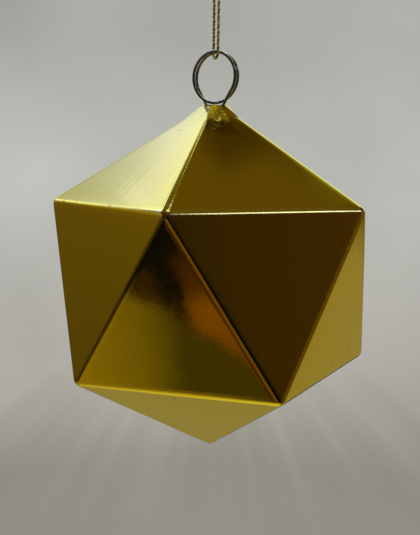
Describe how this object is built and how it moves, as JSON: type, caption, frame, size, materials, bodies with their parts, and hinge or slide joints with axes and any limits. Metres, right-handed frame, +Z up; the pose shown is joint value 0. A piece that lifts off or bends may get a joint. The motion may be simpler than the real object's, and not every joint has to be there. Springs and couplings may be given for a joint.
{
  "type": "hanging bauble",
  "caption": "Hollow icosahedral bauble moulded in half shells with a mirror-gold finish, on a wire ring sprung into its neck, hung from a knotted metallic cord.",
  "frame": {"origin": "middle of the cord's knot, where the ornament is held; everything hangs straight below it", "axes": "+Z up; the wire ring lies in the XZ plane and its own axis is Y"},
  "size_m": [0.0666, 0.064, 0.1052],
  "materials": {
    "gold_shell": "moulded plastic, vacuum-metallised and lacquered to a mirror gold",
    "hanger_wire": "bright drawn spring wire",
    "gold_cord": "two-ply twisted metallic thread"
  },
  "bodies": {
    "held_end": {"cord_knot": "gold_cord"},
    "cord": {"hanging_cord": "gold_cord"},
    "hanger": {"hanger_ring": "hanger_wire"},
    "bauble": {"upper_shell": "gold_shell", "lower_shell": "gold_shell"}
  },
  "joints": [
    {"name": "cord_swing", "type": "hinge", "parent": "held_end", "child": "cord", "pos_m": [0, 0, -0.0013], "axis": [1, 0, 0], "range_deg": [-30, 30]},
    {"name": "ring_swing", "type": "hinge", "parent": "cord", "child": "hanger", "pos_m": [0, 0, -0.02058], "axis": [0, 1, 0], "range_deg": [-45, 45]},
    {"name": "bauble_spin", "type": "hinge", "parent": "hanger", "child": "bauble", "pos_m": [0, 0, -0.02624], "axis": [0, 0, 1], "continuous": true}
  ]
}
